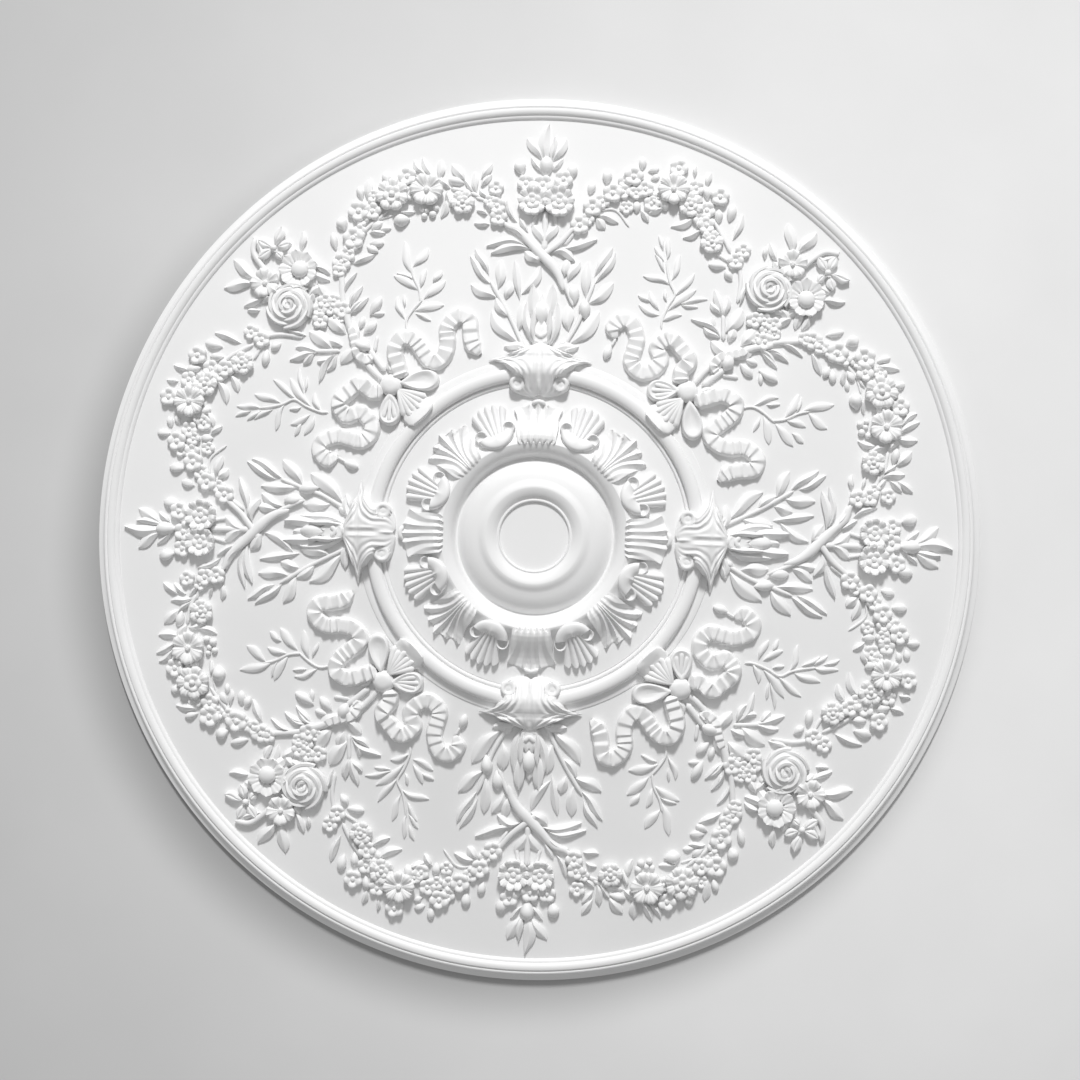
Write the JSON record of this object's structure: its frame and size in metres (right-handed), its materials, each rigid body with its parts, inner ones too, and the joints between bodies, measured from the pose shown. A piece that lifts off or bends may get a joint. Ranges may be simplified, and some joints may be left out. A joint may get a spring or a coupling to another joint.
{
  "type": "ceiling rose",
  "caption": "Large round ceiling rose: shallow cone with moulded rim, relief of bouquets, bows and garlands, a ring moulding, and a leaf crown around a dish with a recessed boss.",
  "frame": {"origin": "centre of the flat back, where the rose is fixed to the ceiling", "axes": "+Z out of the carved face, away from the ceiling; +X and +Y through the middle of two neighbouring small bouquets"},
  "size_m": [0.95, 0.95, 0.065],
  "materials": {
    "plaster": "matt white primer"
  },
  "bodies": {
    "root": {"ceiling_rose": "plaster"}
  },
  "joints": []
}
